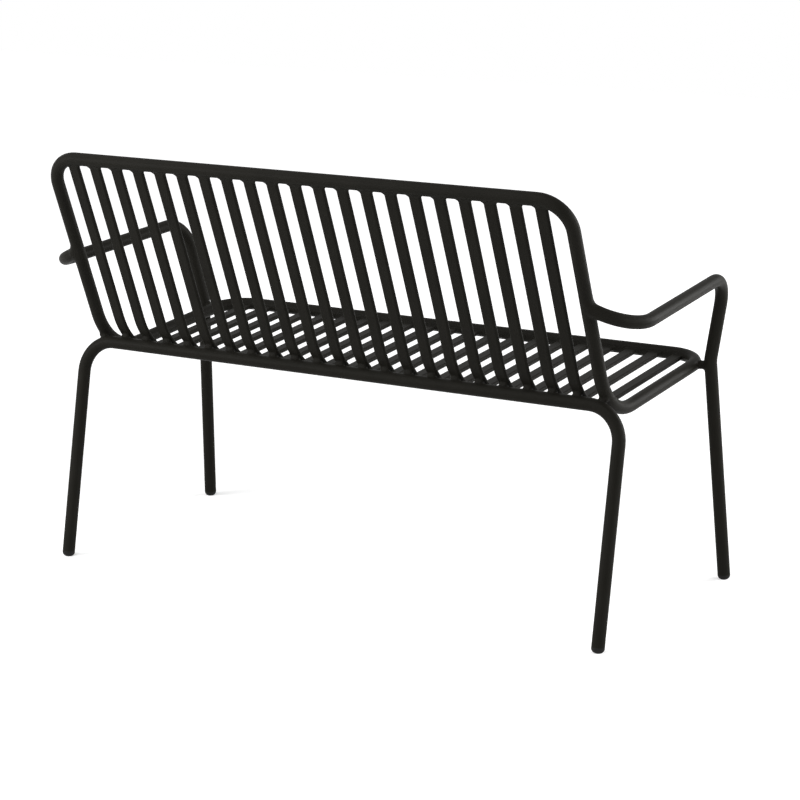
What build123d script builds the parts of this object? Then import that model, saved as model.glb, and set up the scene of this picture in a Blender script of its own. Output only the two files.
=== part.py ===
from build123d import *
import math
import os

# A garden bench of bent and welded round tube with flat-oval slats.
# Millimetres, +Z up. The front faces -Y. The origin is on the floor, under the middle of the overall box.

# Round frame tube
tube_diameter = 25.0
tube_wall = 1.5

# The loop of the back and the seat, measured on the tube's centre line
frame_width = 1108.0
back_length = 449.5
back_lean_deg = 22.3
seat_length = 432.5
seat_rise_deg = 4.5
front_rail_height = 436.5
back_bend_radius = 131.0
back_corner_radius = 60.0
seat_corner_radius = 68.0
joint_past_bend = 51.0

# Sleeves inside the seat sides, where the two bows of the loop meet
sleeve_length = 60.0
sleeve_wall = 1.5
sleeve_fit = 0.05

# Flat-oval slats. The outer ones stand one end space inside the side tubes
slat_count = 21
slat_end_space = 53.5
slat_width = 24.5
slat_thickness = 8.5
slat_wall = 1.2
slat_drop = 2.0

# Rear leg bow. Its crossbar lies behind the bend, at an angle below the rear
rear_leg_out = 38.5
rear_leg_lean_deg = 10.8
rear_corner_radius = 65.0
bar_angle_deg = 45.5
bar_gap = 0.2

# Front leg, upright and armrest, one tube on each side. Places are outwards from the side tubes,
# behind the front rail, and above the front rail or the kink
front_foot_out = 55.0
front_foot_back = 8.5
kink_out = 32.0
kink_back = 52.5
kink_above_rail = 7.0
kink_radius = 57.0
arm_front_out = 66.0
arm_front_back = 70.5
arm_front_above_kink = 172.5
arm_front_radius = 66.0
arm_rear_out = 83.0
arm_rear_fall = 30.0
arm_rear_past_back = 24.0
arm_rear_radius = 91.0
arm_end_rise_share = 0.44
arm_end_back_share = -0.08

# Stub between the kink and the seat's front corner
stub_diameter = 15.0

# Plastic foot glides
glide_fit = 0.05
glide_shank_length = 22.0
glide_shank_bore = 14.0
glide_rim = 1.5
glide_dome = 9.5
glide_round = 9.5
glide_flat_cut = 0.8

# Weld beads. A leg is how far a bead reaches up the piece and along what carries it. The beads are hollow:
# at the share of its leg up the piece, a bead stands that share of its leg out
slat_bead_leg = 5.0
slat_bead_face_share = 0.2
stub_bead_leg = 1.5
arm_bead_leg = 6.0
arm_bead_low_leg = 2.0
arm_bead_width_share = 0.8
bead_hollow_share = 0.35
bead_root_share = 1.5
bead_edge = 0.3
bar_bead_radius = 5.5
bar_bead_length = 18.0
bar_bead_raise = 6.0
bar_bead_round_share = 0.9

# Every cutting tool runs past the piece that it cuts by this much
overrun = 50.0

# How many points stand for an arc where two centre lines are brought together
contact_steps = 80
contact_rounds = 6


def yz(angle_deg):
    """A unit vector in the side view: 0 points to the rear, 90 points up."""
    angle = math.radians(angle_deg)
    return Vector(0, math.cos(angle), math.sin(angle))


def at_x(point, x):
    """The same point of the side view, moved sideways."""
    return Vector(x, point.Y, point.Z)


tube_radius = tube_diameter / 2
bore_radius = tube_radius - tube_wall
half_width = frame_width / 2

# The side view of the loop: front rail, bend corner and top rail
back_up = yz(90 - back_lean_deg)
seat_ahead = yz(180 - seat_rise_deg)
loop_depth = back_length * back_up.Y - seat_length * seat_ahead.Y
front_rail = Vector(0, -loop_depth / 2, front_rail_height)
bend_corner = front_rail - seat_ahead * seat_length
top_rail = bend_corner + back_up * back_length

# The bend between them
bend_inside = math.radians(90 + back_lean_deg - seat_rise_deg)
bend_tangent = back_bend_radius / math.tan(bend_inside / 2)
bend_middle = (back_up + seat_ahead).normalized()
bend_centre = bend_corner + bend_middle * (back_bend_radius / math.sin(bend_inside / 2))
joint = bend_corner + seat_ahead * (bend_tangent + joint_past_bend)


def tube_along(points, radii, outer=tube_radius, inner=0.0):
    """A round tube along straight runs joined by arcs. With no inner radius it is solid."""
    path = FilletPolyline(*points, radius=radii) if radii else Polyline(*points)
    section = Circle(outer) - Circle(inner) if inner > 0 else Circle(outer)
    return sweep(Plane(origin=path @ 0, z_dir=path % 0) * section, path=path)


# Loop: back bow, seat bow and the sleeves where they meet
def back_bow(outer=tube_radius, inner=bore_radius):
    corners = [joint, bend_corner, top_rail]
    points = [at_x(point, half_width) for point in corners]
    points += [at_x(point, -half_width) for point in reversed(corners)]
    radii = [back_bend_radius, back_corner_radius, back_corner_radius, back_bend_radius]
    return tube_along(points, radii, outer, inner)


def seat_bow(outer=tube_radius, inner=bore_radius):
    points = [at_x(joint, half_width), at_x(front_rail, half_width)]
    points += [at_x(front_rail, -half_width), at_x(joint, -half_width)]
    return tube_along(points, [seat_corner_radius, seat_corner_radius], outer, inner)


def joint_sleeve():
    half = seat_ahead * (sleeve_length / 2)
    middle = at_x(joint, half_width)
    outer = bore_radius - sleeve_fit
    return tube_along([middle - half, middle + half], None, outer, outer - sleeve_wall)


# Slats
def slat_places():
    pitch = (frame_width - 2 * slat_end_space) / (slat_count - 1)
    return [half_width - slat_end_space - pitch * i for i in range(slat_count)]


def slat_line():
    """The corners of a slat's centre line: at the top rail, at the bend and at the front rail."""
    return [
        top_rail + yz(-back_lean_deg) * slat_drop,
        bend_corner - bend_middle * (slat_drop / math.sin(bend_inside / 2)),
        front_rail + yz(-90 - seat_rise_deg) * slat_drop,
    ]


def slat_blank(wall=slat_wall):
    """One slat at the middle of the bench, from rail centre to rail centre. With no wall it is solid."""
    path = FilletPolyline(*slat_line(), radius=[back_bend_radius + slat_drop])
    section = SlotOverall(slat_width, slat_thickness)
    if wall > 0:
        section -= SlotOverall(slat_width - 2 * wall, slat_thickness - 2 * wall)
    return sweep(Plane(origin=path @ 0, x_dir=(1, 0, 0), z_dir=path % 0) * section, path=path)


# Rear leg bow. Its crossbar is brought up to the side tubes until they nearly touch
leg_half = half_width + rear_leg_out
leg_down = yz(-90 + rear_leg_lean_deg)
bar_out = yz(-bar_angle_deg)


def least_distance(bar_reach):
    """The least distance between a side tube's bend and the leg bow's corner, on their centre lines."""
    corner_start = leg_half - rear_corner_radius
    bow = []
    side = []
    for i in range(contact_steps + 1):
        turn = math.radians(90 * i / contact_steps)
        along = corner_start + rear_corner_radius * math.sin(turn)
        drop = leg_down * (rear_corner_radius * (1 - math.cos(turn)))
        bow.append(at_x(bend_centre + bar_out * bar_reach + drop, along))
        place = yz(-back_lean_deg - (180 - math.degrees(bend_inside)) * i / contact_steps)
        side.append(at_x(bend_centre + place * back_bend_radius, half_width))
    return min((a - b).length for a in bow for b in side)


def seated_reach():
    """How far the crossbar's centre line lies from the bend's centre."""
    slat_reach = back_bend_radius + slat_drop + slat_thickness / 2 + tube_radius
    reach = slat_reach
    for _ in range(contact_rounds):
        reach += tube_diameter - least_distance(reach)
    return max(reach, slat_reach) + bar_gap


bar_reach = seated_reach()
bar_centre = bend_centre + bar_out * bar_reach
glide_height = glide_rim + glide_dome - glide_flat_cut


def shortened(foot, above):
    """The end of a leg's tube, above its glide."""
    return foot + (above - foot).normalized() * glide_height


# Where the left rear leg's centre line would meet the crossbar's, and where it meets the floor
rear_knee = at_x(bar_centre, leg_half)
rear_foot = rear_knee + leg_down * (bar_centre.Z / -leg_down.Z)


def rear_leg_bow(outer=tube_radius, inner=bore_radius):
    leg_end = shortened(rear_foot, rear_knee)
    points = [leg_end, rear_knee, at_x(rear_knee, -leg_half), at_x(leg_end, -leg_half)]
    return tube_along(points, [rear_corner_radius, rear_corner_radius], outer, inner)


# Left front leg, upright and armrest
def beside(out, back, height):
    """A point given outwards from the side tube, behind the front rail and above the floor."""
    return Vector(half_width + out, front_rail.Y + back, height)


front_foot = beside(front_foot_out, front_foot_back, 0)
kink = beside(kink_out, kink_back, front_rail_height + kink_above_rail)
arm_front = beside(arm_front_out, arm_front_back, kink.Z + arm_front_above_kink)
arm_rear_height = arm_front.Z - arm_rear_fall
back_slope = back_up.Y / back_up.Z
arm_rear_depth = bend_corner.Y + (arm_rear_height - bend_corner.Z) * back_slope + arm_rear_past_back
arm_rear = Vector(half_width + arm_rear_out, arm_rear_depth, arm_rear_height)


arm_end = Vector(-1, arm_end_back_share, arm_end_rise_share).normalized()


def arm_and_leg(outer=tube_radius, inner=bore_radius):
    """The whole tube of the left side, up to the middle of the back's side tube."""
    end = arm_rear + arm_end * (2 * arm_rear_radius)
    points = [shortened(front_foot, kink), kink, arm_front, arm_rear, end]
    whole = tube_along(points, [kink_radius, arm_front_radius, arm_rear_radius], outer, inner)
    return split(whole, bisect_by=Plane(origin=(half_width, 0, 0), z_dir=(1, 0, 0)), keep=Keep.TOP)


def stub_start():
    """The point on the left side tube's centre line that is beside the kink."""
    return beside(0, kink_back, front_rail_height - kink_back * math.tan(math.radians(seat_rise_deg)))


def stub():
    """A rod from the middle of the left side tube to the middle of the front leg."""
    return tube_along([stub_start(), stub_start() + Vector(kink_out, 0, 0)], None, stub_diameter / 2)


def glide(foot, above):
    """A plug in the leg's end: a shank, a rim as wide as the tube, and a dome cut flat by the floor."""
    low = (Align.CENTER, Align.CENTER, Align.MIN)
    body = Cylinder(tube_radius, glide_rim + glide_dome, align=low)
    body = fillet(body.edges().group_by(Axis.Z)[0], glide_round)
    shank = Cylinder(bore_radius - glide_fit, glide_shank_length, align=low)
    shank -= Cylinder(glide_shank_bore / 2, glide_shank_length, align=low)
    plug = Pos(0, 0, -glide_flat_cut) * (body + Pos(0, 0, glide_rim + glide_dome) * shank)
    floor = Box(overrun, overrun, overrun, align=(Align.CENTER, Align.CENTER, Align.MAX))
    return Plane(origin=foot, z_dir=above - foot) * plug - Pos(foot.X, foot.Y, 0) * floor


# Welds
def bead_profile(leg):
    """Heights above the carrier, from inside it to the bead's edge, and how far the bead stands out."""
    hollow = leg * bead_hollow_share
    return [(-leg, leg * bead_root_share), (0, leg), (hollow, hollow), (leg, bead_edge)]


def slat_collar(rail, direction):
    """The hollow bead round the middle slat's end. It spreads along the rail, and little off the faces."""
    sections = []
    for height, grow in bead_profile(slat_bead_leg):
        face_grow = grow * slat_bead_face_share
        place = Plane(origin=rail + direction * (tube_radius + height), x_dir=(1, 0, 0), z_dir=direction)
        sections.append(place * SlotOverall(slat_width + 2 * grow, slat_thickness + 2 * face_grow))
    return loft(sections, ruled=True)


def stub_collar():
    """The beads at the stub's two ends, which meet half-way along it."""
    rising = [(tube_radius + height, grow) for height, grow in bead_profile(stub_bead_leg) if height <= 0]
    falling = [(kink_out - height, grow) for height, grow in reversed(rising)]
    start = stub_start()
    sections = []
    for along, grow in rising + [(kink_out / 2, bead_edge)] + falling:
        place = Plane(origin=start + Vector(along, 0, 0), z_dir=(1, 0, 0))
        sections.append(place * Circle(stub_diameter / 2 + grow))
    return loft(sections, ruled=True)


def arm_beads(arm, back):
    """A large hollow bead in the wide corner above the armrest's end and a small one in the corner below."""
    meeting = arm_rear + arm_end * (arm_rear_out / -arm_end.X)
    above = (back_up - arm_end * back_up.dot(arm_end)).normalized()
    across = Plane(origin=meeting, x_dir=arm_end, z_dir=above)
    beads = []
    for leg, side in ((arm_bead_leg, Align.MIN), (arm_bead_low_leg, Align.MAX)):
        hollow = leg * bead_hollow_share
        along_arm = arm_and_leg(tube_radius + hollow, 0) & back_bow(tube_radius + leg, 0)
        along_back = arm_and_leg(tube_radius + leg, 0) & back_bow(tube_radius + hollow, 0)
        width = tube_diameter * arm_bead_width_share
        limit = across * Box(overrun * 2, width, overrun, align=(Align.CENTER, Align.CENTER, side))
        beads.append(((along_arm + along_back) & limit) - arm - back)
    return beads


def bar_bead(x, reach):
    """A weld bead along X, in the notch above the crossbar. The reach is that of the piece it holds."""
    raise_deg = math.degrees(bar_bead_raise / reach)
    middle = bend_centre + yz(raise_deg - bar_angle_deg) * ((reach + bar_reach - tube_radius) / 2)
    bead = Cylinder(bar_bead_radius, bar_bead_length, rotation=(0, 90, 0))
    return Pos(*at_x(middle, x)) * fillet(bead.edges(), bar_bead_radius * bar_bead_round_share)


def mirrored(shape):
    """The same piece on the other side of the bench."""
    return mirror(shape, about=Plane.YZ)


def save(shapes, name):
    solids = [solid for shape in shapes for solid in shape.solids()]
    export_step(Compound(children=solids) if len(solids) > 1 else solids[0], f"parts/{name}.step")


def save_pair(piece, name):
    save([piece], f"{name}_left")
    save([mirrored(piece)], f"{name}_right")


def build_slats(back, seat, legs):
    """The slats and their welds. Those that stand on straight rails are copies of the middle one."""
    hollow = slat_blank()
    full = slat_blank(wall=0)
    top_end, _, front_end = slat_line()
    top_collar = slat_collar(top_end, -back_up)
    front_collar = slat_collar(front_end, -seat_ahead)
    face_reach = back_bend_radius + slat_drop + slat_thickness / 2

    def slat_and_welds(x):
        here = Pos(x, 0, 0)
        slat = here * hollow - back - seat
        top = here * top_collar - here * full - back
        front = here * front_collar - here * full - seat
        return slat, top, front, bar_bead(x, face_reach) - here * full - legs

    middle = slat_and_welds(0)
    straight_half = half_width - max(back_corner_radius, seat_corner_radius)
    welds = {"weld_slats_to_top_rail": [], "weld_slats_to_front_rail": [], "weld_slats_to_crossbar": []}
    for i, x in enumerate(slat_places()):
        if abs(x) + slat_width / 2 + slat_bead_leg * bead_root_share < straight_half:
            pieces = [Pos(x, 0, 0) * piece for piece in middle]
        else:
            pieces = slat_and_welds(abs(x))
            if x < 0:
                pieces = [mirrored(piece) for piece in pieces]
        save([pieces[0]], f"slat_{i + 1:02d}")
        for name, bead in zip(welds, pieces[1:]):
            welds[name].append(bead)
    for name, beads in welds.items():
        save(beads, name)


def build():
    os.makedirs("parts", exist_ok=True)
    back = back_bow(inner=0)
    seat = seat_bow(inner=0)
    legs = rear_leg_bow(inner=0)
    save([back_bow()], "back_bow")
    save([seat_bow()], "seat_bow")
    save([rear_leg_bow()], "rear_leg_bow")
    build_slats(back, seat, legs)

    # The pieces of the left side, and their mirror images on the right
    arm = arm_and_leg(inner=0)
    save_pair(arm_and_leg() - back, "arm_and_leg")
    save_pair(stub() - seat - arm, "seat_stub")
    save_pair(joint_sleeve(), "joint_sleeve")
    save_pair(glide(rear_foot, rear_knee), "foot_glide_rear")
    save_pair(glide(front_foot, kink), "foot_glide_front")

    side_bead = bar_bead(half_width, back_bend_radius + tube_radius) - back - legs
    stub_bead = stub_collar() - stub() - seat - arm
    left_beads = arm_beads(arm, back)
    save([side_bead, mirrored(side_bead)], "weld_sides_to_leg_bow")
    save([stub_bead, mirrored(stub_bead)], "weld_stubs")
    save(left_beads + [mirrored(bead) for bead in left_beads], "weld_arms_to_back")


build()
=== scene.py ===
"""Dresses a slatted garden bench of bent steel tube: powder coat, weld beads, foot glides and a studio stage.

Metres, +Z up. The front of the bench faces -Y, and the floor is Z = 0.
"""

import math

import bpy
from mathutils import Matrix, Vector


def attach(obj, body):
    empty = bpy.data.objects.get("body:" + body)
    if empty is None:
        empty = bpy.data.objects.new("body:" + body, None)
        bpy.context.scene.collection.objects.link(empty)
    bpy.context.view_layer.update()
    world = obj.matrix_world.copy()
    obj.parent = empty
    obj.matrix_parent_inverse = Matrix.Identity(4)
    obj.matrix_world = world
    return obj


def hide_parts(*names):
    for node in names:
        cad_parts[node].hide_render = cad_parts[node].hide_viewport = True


bl_info = {
    "name": "Slatted Tube Bench",
    "version": (1, 0, 0),
    "blender": (4, 5, 0),
    "location": "3D View > Sidebar > Bench",
    "description": "Gives a bent-tube garden bench its powder coat, weld beads, foot glides and studio stage",
    "category": "Object",
}

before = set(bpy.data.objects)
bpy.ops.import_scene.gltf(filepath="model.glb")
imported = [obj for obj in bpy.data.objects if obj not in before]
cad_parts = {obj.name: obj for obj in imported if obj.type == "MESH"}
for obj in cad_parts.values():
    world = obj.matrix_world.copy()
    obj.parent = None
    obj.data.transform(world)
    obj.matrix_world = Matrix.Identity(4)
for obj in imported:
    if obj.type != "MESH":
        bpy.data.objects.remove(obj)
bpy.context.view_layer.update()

MM = 0.001
BODY = "root"
COATED = ("back_bow", "seat_bow", "rear_leg_bow", "slat", "arm_and_leg", "seat_stub")

# Materials
COAT = "powder_coat_satin_black"
PLASTIC = "glide_polyethylene_black"
STEEL = "cold_rolled_steel"

# The coat's shade and gloss drift a little over patches of this size
PATCH_SIZE = 60 * MM
PATCH_EDGES = (0.35, 0.65)
PATCH_SHADES = (0.93, 1.07)
GLOSS_SPREAD = 0.04

GLIDE_GRAIN = 0.7 * MM
GLIDE_GRAIN_DEPTH = 0.03 * MM
GLIDE_SHADES = ("151514", "1e1d1c")

STEEL_SHADE = "b9b7b3"
STEEL_MOTTLE = 1.5 * MM
STEEL_GLOSS = (0.3, 0.45)

# Each group of weld beads: its name, the starts of the names of what it joins, how many millimetres of these
# round a bead are melted with it, the rounds of smoothing, and how many millimetres the result is then puffed up.
# On round tubes this makes up for what the smoothing shrinks, and at the flat slats it sinks the result a little
WELDS = (
    ("weld_slats_to_top_rail", ("back_bow", "slat"), 4, 30, -0.12),
    ("weld_slats_to_front_rail", ("seat_bow", "slat"), 4, 30, -0.12),
    ("weld_slats_to_crossbar", ("rear_leg_bow", "slat"), 4, 80, -0.12),
    ("weld_sides_to_leg_bow", ("back_bow", "rear_leg_bow"), 8, 110, 0.3),
    ("weld_arms_to_back", ("back_bow", "arm_and_leg"), 12, 120, 0.42),
    ("weld_stubs", ("seat_bow", "arm_and_leg", "seat_stub"), 10, 90, 0.15),
)

# A little more than the widest bore of a tube or slat
BORE = 22.5 * MM

# Points this near each other are one, and a ray starts this far off its own face
SAME_POINT = 0.001 * MM
OFF_FACE = 0.01 * MM

# Softboxes round the bench: name, turn from the front and rise in degrees, watts
BENCH_MIDDLE = (0, 0, 0.5)
SOFTBOXES = (
    ("rear_left", 135, 12, 61),
    ("rear_left_high", 120, 50, 23),
    ("rear", 180, 12, 18),
    ("rear_high", 180, 50, 39),
    ("right", 270, 12, 49),
    ("front_right", 315, 12, 75),
)

# The camera's sensor in millimetres, and how far it sees
SENSOR_WIDTH = 36.0
SEEN_TO = 100.0

# The paper floor, its fibres drawn coarser than real ones, which are too fine to show, and the distances from the
# bench's middle between which it fades to plain white
PAPER_FIBRE = 2 * MM
PAPER_SHADES = ("e9e9e9", "eeeeee")
FADE_FROM = 0.9
FADE_TO = 3.2


# Small helpers for colours, nodes and selection
def hex_colour(code):
    """A linear RGBA colour from an sRGB hex code such as 2a2927."""
    values = [int(code[i : i + 2], 16) / 255 for i in (0, 2, 4)]
    linear = [v / 12.92 if v <= 0.04045 else ((v + 0.055) / 1.055) ** 2.4 for v in values]
    return (*linear, 1.0)


def add_node(tree, kind, settings=None, inputs=None, links=None):
    """Adds a node, sets its properties and input values, and links inputs to other nodes' outputs."""
    node = tree.nodes.new(kind)
    for name, value in (settings or {}).items():
        setattr(node, name, value)
    for name, value in (inputs or {}).items():
        node.inputs[name].default_value = value
    for name, output in (links or {}).items():
        tree.links.new(output, node.inputs[name])
    return node


def add_noise(tree, place, size, detail=2.0, roughness=0.5):
    """Noise with waves of this size in metres."""
    noise = add_node(
        tree, "ShaderNodeTexNoise", inputs={"Scale": 1 / size, "Detail": detail, "Roughness": roughness},
        links={"Vector": place},
    )
    return noise.outputs["Fac"]


def add_ramp(tree, factor, colours, positions=(0, 1)):
    """Two colours, and the factors at which they are reached."""
    ramp = add_node(tree, "ShaderNodeValToRGB", links={"Fac": factor})
    for element, colour, position in zip(ramp.color_ramp.elements, colours, positions):
        element.position = position
        element.color = colour
    return ramp.outputs["Color"]


def add_range(tree, factor, low, high, settings=None, inputs=None):
    """Spreads a factor from 0 to 1 over the values from low to high."""
    spread = add_node(
        tree, "ShaderNodeMapRange", settings=settings, inputs={"To Min": low, "To Max": high, **(inputs or {})},
        links={"Value": factor},
    )
    return spread.outputs["Result"]


def add_bump(tree, height, depth, normal=None):
    """A bump of this depth in metres, on top of another one if its normal is given."""
    links = {"Height": height} if normal is None else {"Height": height, "Normal": normal}
    bump = add_node(tree, "ShaderNodeBump", inputs={"Strength": 1.0, "Distance": depth}, links=links)
    return bump.outputs["Normal"]


def new_material(name):
    """A material with an empty tree, its output node and Object coordinates."""
    material = bpy.data.materials.new(name)
    material.use_nodes = True
    tree = material.node_tree
    tree.nodes.clear()
    output = add_node(tree, "ShaderNodeOutputMaterial")
    place = add_node(tree, "ShaderNodeTexCoord").outputs["Object"]
    return material, tree, output, place


def add_skin(tree, output, inputs, links):
    """The Principled shader as the material's surface."""
    skin = add_node(tree, "ShaderNodeBsdfPrincipled", inputs=inputs, links=links)
    tree.links.new(skin.outputs["BSDF"], output.inputs["Surface"])


def material_once(name, make):
    return bpy.data.materials.get(name) or make(name)


def select_only(piece):
    bpy.ops.object.select_all(action="DESELECT")
    piece.select_set(True)
    bpy.context.view_layer.objects.active = piece


def nodes_named(*starts):
    return [name for name in sorted(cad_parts) if name.startswith(starts)]


def dress(starts, material):
    """Puts one material in all the slots of the CAD nodes whose names start so."""
    for name in nodes_named(*starts):
        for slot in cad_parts[name].material_slots:
            slot.material = material


# Sizes and colours that a user would change
class BenchCoat(bpy.types.PropertyGroup):
    shade: bpy.props.FloatVectorProperty(
        name="Shade", description="Colour of the powder coat", subtype="COLOR", size=4, min=0, max=1,
        default=hex_colour("191815"),
    )
    gloss_roughness: bpy.props.FloatProperty(
        name="Roughness", description="Roughness of the satin coat", default=0.45, min=0, max=1, subtype="FACTOR",
    )
    specular: bpy.props.FloatProperty(
        name="Specular", description="How much light the coat's skin mirrors; 0.5 is plain glossy plastic",
        default=0.025, min=0, max=1, subtype="FACTOR",
    )
    peel_size: bpy.props.FloatProperty(
        name="Orange peel", description="Distance between the waves of the coat's orange peel",
        default=3.5 * MM, unit="LENGTH",
    )
    peel_depth: bpy.props.FloatProperty(
        name="Peel depth", description="Height of the orange peel", default=0.05 * MM, unit="LENGTH",
    )
    grain_size: bpy.props.FloatProperty(
        name="Grain", description="Size of the coat's fine grains", default=0.8 * MM, unit="LENGTH",
    )
    grain_depth: bpy.props.FloatProperty(
        name="Grain depth", description="Height of the fine grains", default=0.02 * MM, unit="LENGTH",
    )


class BenchWelds(bpy.types.PropertyGroup):
    voxel: bpy.props.FloatProperty(
        name="Detail", description="Size of the voxels that melt a bead", default=0.85 * MM, unit="LENGTH",
    )
    softness: bpy.props.FloatProperty(
        name="Softness", description="Share of each weld's rounds of smoothing", default=1.0, min=0,
    )
    puff: bpy.props.FloatProperty(
        name="Puff", description="Added to how far each weld is puffed up after smoothing", default=0.0,
        unit="LENGTH",
    )


class BenchStage(bpy.types.PropertyGroup):
    azimuth: bpy.props.FloatProperty(
        name="Azimuth", description="Camera's turn from the front", default=math.radians(210.48), unit="ROTATION",
    )
    elevation: bpy.props.FloatProperty(
        name="Elevation", description="Camera's height angle", default=math.radians(13.27), unit="ROTATION",
    )
    distance: bpy.props.FloatProperty(
        name="Distance", description="From the aim point to the camera", default=4.9305, unit="LENGTH",
    )
    aim: bpy.props.FloatVectorProperty(
        name="Aim", description="The point in the middle of the view", default=(-0.0390, -0.0105, 0.3480),
        subtype="XYZ", unit="LENGTH",
    )
    lens: bpy.props.FloatProperty(name="Lens", description="Focal length in millimetres", default=114.19)
    floor_size: bpy.props.FloatProperty(
        name="Floor", description="Side of the floor plane", default=16.0, unit="LENGTH",
    )
    floor_lift: bpy.props.FloatProperty(
        name="Floor lift", description="White that the floor adds at the bench to what is seen of it", default=0.4,
    )
    surround: bpy.props.FloatProperty(
        name="Surround", description="Light of the surround on the bench; what is seen of it is 1", default=0.1,
    )
    lamp_distance: bpy.props.FloatProperty(
        name="Lamp distance", description="From the middle of the bench to each softbox", default=3.0,
        unit="LENGTH",
    )
    lamp_size: bpy.props.FloatProperty(
        name="Softbox", description="Side of each square softbox", default=1.6, unit="LENGTH",
    )


# Powder coat, plastic and bare steel
def powder_coat_material(name):
    """Polyester powder coat, sprayed on steel and baked: a satin black skin. The powder melts into shallow waves
    (orange peel) with a fine grain on top, so that its highlights are broad and a little broken up."""
    coat = bpy.context.scene.bench_coat
    material, tree, output, place = new_material(name)
    patches = add_noise(tree, place, PATCH_SIZE, detail=3.0, roughness=0.55)
    shades = [[value * share for value in coat.shade[:3]] + [1.0] for share in PATCH_SHADES]
    peel = add_noise(tree, place, coat.peel_size, detail=1.0, roughness=0.4)
    grain = add_noise(tree, place, coat.grain_size, roughness=0.6)
    low, high = coat.gloss_roughness - GLOSS_SPREAD, coat.gloss_roughness + GLOSS_SPREAD
    add_skin(
        tree, output, inputs={"IOR": 1.5, "Specular IOR Level": coat.specular},
        links={
            "Base Color": add_ramp(tree, patches, shades, PATCH_EDGES),
            "Roughness": add_range(tree, patches, low, high),
            "Normal": add_bump(tree, grain, coat.grain_depth, add_bump(tree, peel, coat.peel_depth)),
        },
    )
    return material


def glide_material(name):
    """Black polyethylene, injection moulded: a dull, slightly waxy skin with a fine mould grain."""
    material, tree, output, place = new_material(name)
    grain = add_noise(tree, place, GLIDE_GRAIN)
    add_skin(
        tree, output, inputs={"IOR": 1.51, "Roughness": 0.6, "Specular IOR Level": 0.08},
        links={
            "Base Color": add_ramp(tree, grain, [hex_colour(code) for code in GLIDE_SHADES]),
            "Normal": add_bump(tree, grain, GLIDE_GRAIN_DEPTH),
        },
    )
    return material


def steel_material(name):
    """Cold-rolled steel tube, uncoated: a grey metal with a fine mottle. It is hidden inside the seat sides."""
    material, tree, output, place = new_material(name)
    mottle = add_noise(tree, place, STEEL_MOTTLE)
    add_skin(
        tree, output, inputs={"Base Color": hex_colour(STEEL_SHADE), "Metallic": 1.0},
        links={"Roughness": add_range(tree, mottle, *STEEL_GLOSS)},
    )
    return material


class BENCH_OT_coat(bpy.types.Operator):
    """Coats the tubes, slats and stubs with satin black powder coat, and leaves the hidden sleeves bare"""

    bl_idname = "bench.coat"
    bl_label = "Powder Coat"

    def execute(self, context):
        dress(COATED, material_once(COAT, powder_coat_material))
        dress(("joint_sleeve",), material_once(STEEL, steel_material))
        return {"FINISHED"}


class BENCH_OT_glides(bpy.types.Operator):
    """Gives the foot glides their moulded plastic"""

    bl_idname = "bench.glides"
    bl_label = "Foot Glides"

    def execute(self, context):
        dress(("foot_glide",), material_once(PLASTIC, glide_material))
        return {"FINISHED"}


# Weld beads
def loose_copy(name):
    """A copy of a CAD node's mesh that carries none of the node's own labels, merged into a closed skin."""
    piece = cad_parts[name].copy()
    piece.data = piece.data.copy()
    for key in [key for key in piece.keys() if key.startswith("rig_")]:
        del piece[key]
    piece.parent = None
    bpy.context.scene.collection.objects.link(piece)
    select_only(piece)
    bpy.ops.object.mode_set(mode="EDIT")
    bpy.ops.mesh.select_all(action="SELECT")
    bpy.ops.mesh.remove_doubles(threshold=SAME_POINT)
    bpy.ops.object.mode_set(mode="OBJECT")
    return piece


def joined(pieces):
    select_only(pieces[0])
    for piece in pieces:
        piece.select_set(True)
    bpy.ops.object.join()
    return pieces[0]


def apply_all(piece):
    select_only(piece)
    for modifier in [m.name for m in piece.modifiers]:
        bpy.ops.object.modifier_apply(modifier=modifier)


def solid_bars(start):
    """The tubes whose names start so, as solid bars. A face looks into a bore, and goes, if another face is less
    than the bore's width ahead of it. The holes that this leaves at the tubes' ends are filled."""
    bars = joined([loose_copy(name) for name in nodes_named(start)])
    bpy.ops.object.mode_set(mode="EDIT")
    bpy.ops.mesh.select_mode(type="FACE")
    bpy.ops.mesh.select_all(action="DESELECT")
    bpy.ops.object.mode_set(mode="OBJECT")
    for face in bars.data.polygons:
        ahead = face.center + face.normal * OFF_FACE
        face.select = bars.ray_cast(ahead, face.normal, distance=BORE)[0]
    bpy.ops.object.mode_set(mode="EDIT")
    bpy.ops.mesh.delete(type="FACE")
    bpy.ops.mesh.select_mode(type="EDGE")
    bpy.ops.mesh.select_all(action="DESELECT")
    bpy.ops.mesh.select_non_manifold()
    bpy.ops.mesh.fill_holes(sides=0)
    bpy.ops.object.mode_set(mode="OBJECT")
    return bars


def boxes_round(beads, margin):
    """One cube round each bead, and one round beads that are near each other."""
    select_only(beads)
    bpy.ops.object.duplicate()
    bpy.ops.object.mode_set(mode="EDIT")
    bpy.ops.mesh.select_all(action="SELECT")
    bpy.ops.mesh.separate(type="LOOSE")
    bpy.ops.object.mode_set(mode="OBJECT")
    parts = list(bpy.context.selected_objects)
    boxes = []
    for part in parts:
        corners = [Vector(corner) for corner in part.bound_box]
        low = Vector(min(c[i] for c in corners) - margin for i in range(3))
        high = Vector(max(c[i] for c in corners) + margin for i in range(3))
        near = [box for box in boxes if all(box[0][i] < high[i] and low[i] < box[1][i] for i in range(3))]
        for box in near:
            boxes.remove(box)
            low = Vector(min(low[i], box[0][i]) for i in range(3))
            high = Vector(max(high[i], box[1][i]) for i in range(3))
        boxes.append((low, high))
    bpy.ops.object.delete()
    cubes = []
    for low, high in boxes:
        bpy.ops.mesh.primitive_cube_add(size=1, location=(low + high) / 2, scale=high - low)
        bpy.ops.object.transform_apply()
        cubes.append(bpy.context.active_object)
    return joined(cubes)


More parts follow.
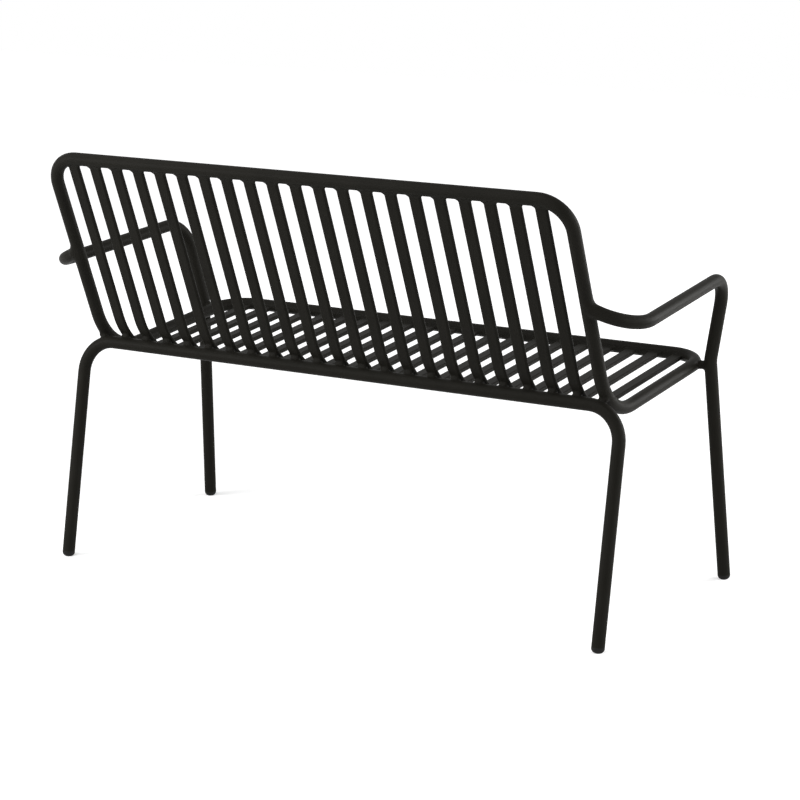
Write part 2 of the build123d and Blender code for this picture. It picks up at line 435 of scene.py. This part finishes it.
def weld_piece(name, bars, reach, rounds, puff):
    """Soft beads. A bead and the ends that it joins are melted together and smoothed, which leaves a fillet in
    the corners between them. Elsewhere the result's skin lies within a few tenths of a millimetre of the tubes'."""
    welds = bpy.context.scene.bench_welds
    piece = loose_copy(name)
    boxes = boxes_round(piece, reach * MM)
    parts = [piece]
    for bar in bars:
        end = bar.copy()
        end.data = bar.data.copy()
        bpy.context.scene.collection.objects.link(end)
        near = end.modifiers.new("near", "BOOLEAN")
        near.operation = "INTERSECT"
        near.object = boxes
        apply_all(end)
        parts.append(end)
    joined(parts)
    piece.name = f"{name}_soft"
    remesh = piece.modifiers.new("melt", "REMESH")
    remesh.mode = "VOXEL"
    remesh.voxel_size = welds.voxel
    smooth = piece.modifiers.new("soften", "SMOOTH")
    smooth.iterations = round(rounds * welds.softness)
    swell = piece.modifiers.new("puff", "DISPLACE")
    swell.mid_level = 0
    swell.strength = puff * MM + welds.puff
    apply_all(piece)
    bpy.ops.object.shade_smooth()
    bpy.data.objects.remove(boxes)
    piece.data.materials.clear()
    piece.data.materials.append(material_once(COAT, powder_coat_material))
    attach(piece, BODY)
    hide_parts(name)


class BENCH_OT_welds(bpy.types.Operator):
    """Models the weld beads as soft fillets"""

    bl_idname = "bench.welds"
    bl_label = "Weld Beads"

    def execute(self, context):
        bars = {start: solid_bars(start) for start in sorted({s for weld in WELDS for s in weld[1]})}
        for name, starts, reach, rounds, puff in WELDS:
            weld_piece(name, [bars[start] for start in starts], reach, rounds, puff)
        for bar in bars.values():
            bpy.data.objects.remove(bar)
        return {"FINISHED"}


# Stage
def toward(turn, rise):
    """The direction at an azimuth from the front and a height angle."""
    return Vector((math.sin(turn) * math.cos(rise), -math.cos(turn) * math.cos(rise), math.sin(rise)))


def add_softbox(stage, name, turn_deg, rise_deg, watts):
    """A square softbox that looks at the middle of the bench. It is not seen itself."""
    direction = toward(math.radians(turn_deg), math.radians(rise_deg))
    data = bpy.data.lights.new(name, "AREA")
    data.shape = "SQUARE"
    data.size = stage.lamp_size
    data.energy = watts
    lamp = bpy.data.objects.new(name, data)
    bpy.context.scene.collection.objects.link(lamp)
    turned = direction.to_track_quat("Z", "Y").to_matrix().to_4x4()
    lamp.matrix_world = Matrix.Translation(Vector(BENCH_MIDDLE) + direction * stage.lamp_distance) @ turned
    lamp.visible_camera = False


def add_camera(stage):
    back = toward(stage.azimuth, stage.elevation)
    right = Vector((math.cos(stage.azimuth), math.sin(stage.azimuth), 0))
    up = back.cross(right)
    data = bpy.data.cameras.new("camera")
    data.lens = stage.lens
    data.sensor_width = SENSOR_WIDTH
    data.clip_end = SEEN_TO
    camera = bpy.data.objects.new("camera", data)
    bpy.context.scene.collection.objects.link(camera)
    place = Vector(stage.aim) + back * stage.distance
    camera.matrix_world = Matrix.Translation(place) @ Matrix((right, up, back)).transposed().to_4x4()
    bpy.context.scene.camera = camera


def seen_rays(tree):
    """1 for the camera's rays, reflections and rays through glass, and 0 for light on its way to the bench."""
    path = add_node(tree, "ShaderNodeLightPath")
    seen = path.outputs["Is Camera Ray"]
    for kind in ("Is Glossy Ray", "Is Transmission Ray"):
        either = add_node(
            tree, "ShaderNodeMath", settings={"operation": "MAXIMUM"}, links={0: seen, 1: path.outputs[kind]},
        )
        seen = either.outputs[0]
    return seen


def floor_material():
    """White studio paper. It takes the bench's soft shadow, and fades into the white surround."""
    stage = bpy.context.scene.bench_stage
    material, tree, output, place = new_material("studio_paper")
    fibres = add_noise(tree, place, PAPER_FIBRE)
    shade = add_ramp(tree, fibres, [hex_colour(code) for code in PAPER_SHADES])
    paper = add_node(tree, "ShaderNodeBsdfDiffuse", links={"Color": shade})
    away = add_node(tree, "ShaderNodeVectorMath", settings={"operation": "LENGTH"}, links={0: place})
    fade = add_range(
        tree, away.outputs["Value"], stage.floor_lift, 1.0, settings={"interpolation_type": "SMOOTHSTEP"},
        inputs={"From Min": FADE_FROM, "From Max": FADE_TO},
    )
    lift = add_node(
        tree, "ShaderNodeMath", settings={"operation": "MULTIPLY"}, links={0: seen_rays(tree), 1: fade},
    )
    glow = add_node(tree, "ShaderNodeEmission", links={"Strength": lift.outputs[0]})
    both = add_node(
        tree, "ShaderNodeAddShader", links={0: paper.outputs["BSDF"], 1: glow.outputs["Emission"]},
    )
    tree.links.new(both.outputs["Shader"], output.inputs["Surface"])
    return material


def make_world(stage):
    """A white surround for the camera and for reflections, and a weak soft light on the bench."""
    world = bpy.data.worlds.new("studio")
    world.use_nodes = True
    tree = world.node_tree
    tree.nodes.clear()
    output = add_node(tree, "ShaderNodeOutputWorld")
    strength = add_range(tree, seen_rays(tree), stage.surround, 1.0)
    glow = add_node(tree, "ShaderNodeBackground", inputs={"Color": (1, 1, 1, 1)}, links={"Strength": strength})
    tree.links.new(glow.outputs["Background"], output.inputs["Surface"])
    bpy.context.scene.world = world


class BENCH_OT_stage(bpy.types.Operator):
    """Sets the floor, the softboxes, the surround and the camera"""

    bl_idname = "bench.stage"
    bl_label = "Studio Stage"

    def execute(self, context):
        stage = context.scene.bench_stage
        bpy.ops.object.select_all(action="DESELECT")
        bpy.ops.mesh.primitive_plane_add(size=stage.floor_size, location=(0, 0, 0))
        floor = context.active_object
        floor.name = "floor"
        floor.data.materials.append(floor_material())
        for softbox in SOFTBOXES:
            add_softbox(stage, *softbox)
        add_camera(stage)
        make_world(stage)
        context.scene.view_settings.view_transform = "Standard"
        return {"FINISHED"}


class BENCH_PT_panel(bpy.types.Panel):
    """The bench's tools and values"""

    bl_label = "Bench"
    bl_idname = "BENCH_PT_panel"
    bl_space_type = "VIEW_3D"
    bl_region_type = "UI"
    bl_category = "Bench"

    def draw(self, context):
        layout = self.layout
        for operator in OPERATORS:
            layout.operator(operator.bl_idname)
        for group in (context.scene.bench_coat, context.scene.bench_welds, context.scene.bench_stage):
            box = layout.box()
            for name in group.__annotations__:
                box.prop(group, name)


GROUPS = {"bench_coat": BenchCoat, "bench_welds": BenchWelds, "bench_stage": BenchStage}
OPERATORS = (BENCH_OT_coat, BENCH_OT_glides, BENCH_OT_welds, BENCH_OT_stage)


def register():
    for group in (*GROUPS.values(), *OPERATORS, BENCH_PT_panel):
        bpy.utils.register_class(group)
    for name, group in GROUPS.items():
        setattr(bpy.types.Scene, name, bpy.props.PointerProperty(type=group))


def unregister():
    for name in GROUPS:
        delattr(bpy.types.Scene, name)
    for group in reversed((*GROUPS.values(), *OPERATORS, BENCH_PT_panel)):
        bpy.utils.unregister_class(group)


def main():
    register()
    bpy.ops.bench.coat()
    bpy.ops.bench.glides()
    bpy.ops.bench.welds()
    bpy.ops.bench.stage()


if __name__ == "__main__":
    main()
